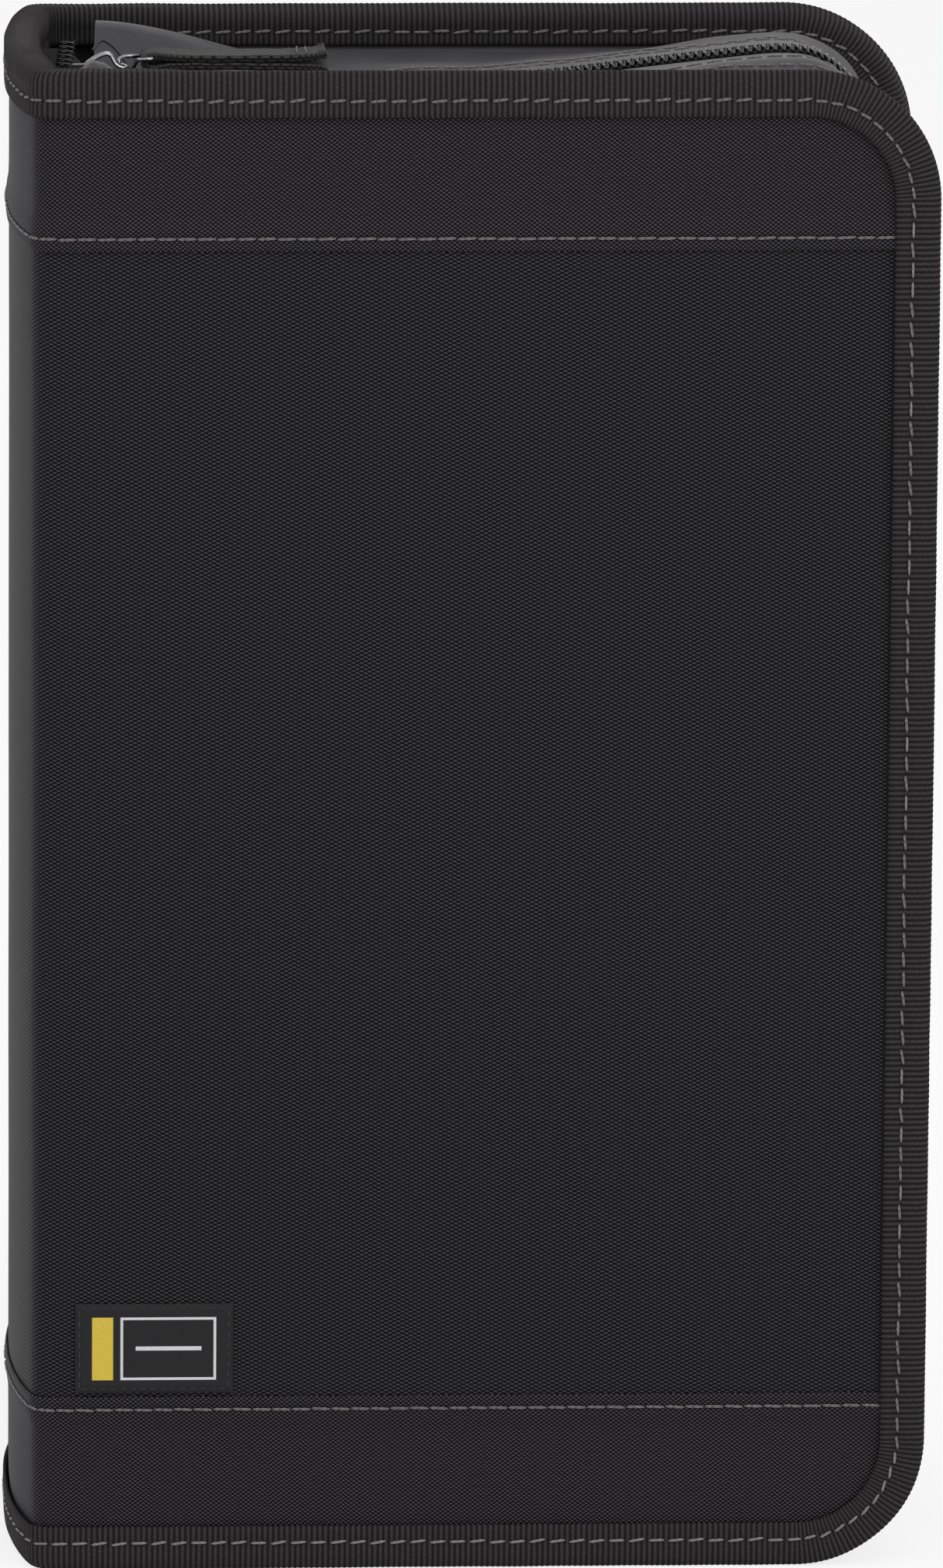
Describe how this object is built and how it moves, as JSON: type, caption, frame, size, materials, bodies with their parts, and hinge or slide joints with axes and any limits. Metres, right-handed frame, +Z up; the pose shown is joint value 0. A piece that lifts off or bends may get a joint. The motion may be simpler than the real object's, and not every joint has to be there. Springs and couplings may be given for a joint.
{
  "type": "cd storage case",
  "caption": "Zip-round disc wallet in woven nylon, with stiff covers hinged on a bowed spine, ribbed edge tape, soft gussets and bound sleeve pages.",
  "frame": {"origin": "middle of the footprint, on the surface the closed case stands on", "axes": "+Z up along the spine, +X from the spine to the free zip edge, -Y out of the front cover"},
  "size_m": [0.175, 0.077, 0.29],
  "materials": {
    "woven_nylon": "coarse plain-woven nylon",
    "edge_tape": "ribbed grosgrain tape",
    "lining": "smooth satin lining",
    "board": "plain stiffening board",
    "zip_tape": "woven tape",
    "zip_coil": "glossy moulded coil",
    "slider": "black enamel",
    "wire": "bright wire",
    "label": "woven patch",
    "page_film": "clear film over dark backing"
  },
  "bodies": {
    "spine": {"spine_main_panel": "woven_nylon", "spine_top_band": "woven_nylon", "spine_bottom_band": "woven_nylon", "spine_board": "board", "spine_lining": "lining", "spine_top_binding": "edge_tape", "spine_bottom_binding": "edge_tape", "page_strip": "zip_tape", "disc_pages": "page_film"},
    "front_cover": {"front_main_panel": "woven_nylon", "front_top_band": "woven_nylon", "front_bottom_band": "woven_nylon", "front_board": "board", "front_lining": "lining", "front_binding": "edge_tape", "front_gusset": "lining", "front_zip_tape": "zip_tape", "front_zip_coil": "zip_coil", "label": "label"},
    "back_cover": {"back_main_panel": "woven_nylon", "back_top_band": "woven_nylon", "back_bottom_band": "woven_nylon", "back_board": "board", "back_lining": "lining", "back_binding": "edge_tape", "back_gusset": "lining", "back_zip_tape": "zip_tape", "back_zip_coil": "zip_coil"},
    "slider": {"zip_slider": "slider"},
    "ring": {"slider_ring": "wire"},
    "pull": {"pull_link": "wire", "pull_tape": "zip_tape"}
  },
  "joints": [
    {"name": "front_hinge", "type": "hinge", "parent": "spine", "child": "front_cover", "pos_m": [-0.0824, -0.0374, 0.145], "axis": [0, 0, -1], "range_deg": [0, 100]},
    {"name": "back_hinge", "type": "hinge", "parent": "spine", "child": "back_cover", "pos_m": [-0.0824, 0.0374, 0.145], "axis": [0, 0, 1], "range_deg": [0, 100]},
    {"name": "zip_slide", "type": "slide", "parent": "back_cover", "child": "slider", "axis": [0.9998, 0, 0.0182], "range_m": [0, 0.036]},
    {"name": "ring_swing", "type": "hinge", "parent": "slider", "child": "ring", "pos_m": [-0.07276, 0, 0.28303], "axis": [0, -1, 0], "range_deg": [0, 85]},
    {"name": "pull_swing", "type": "hinge", "parent": "ring", "child": "pull", "pos_m": [-0.06418, 0, 0.28429], "axis": [0, -1, 0], "range_deg": [0, 90]}
  ]
}
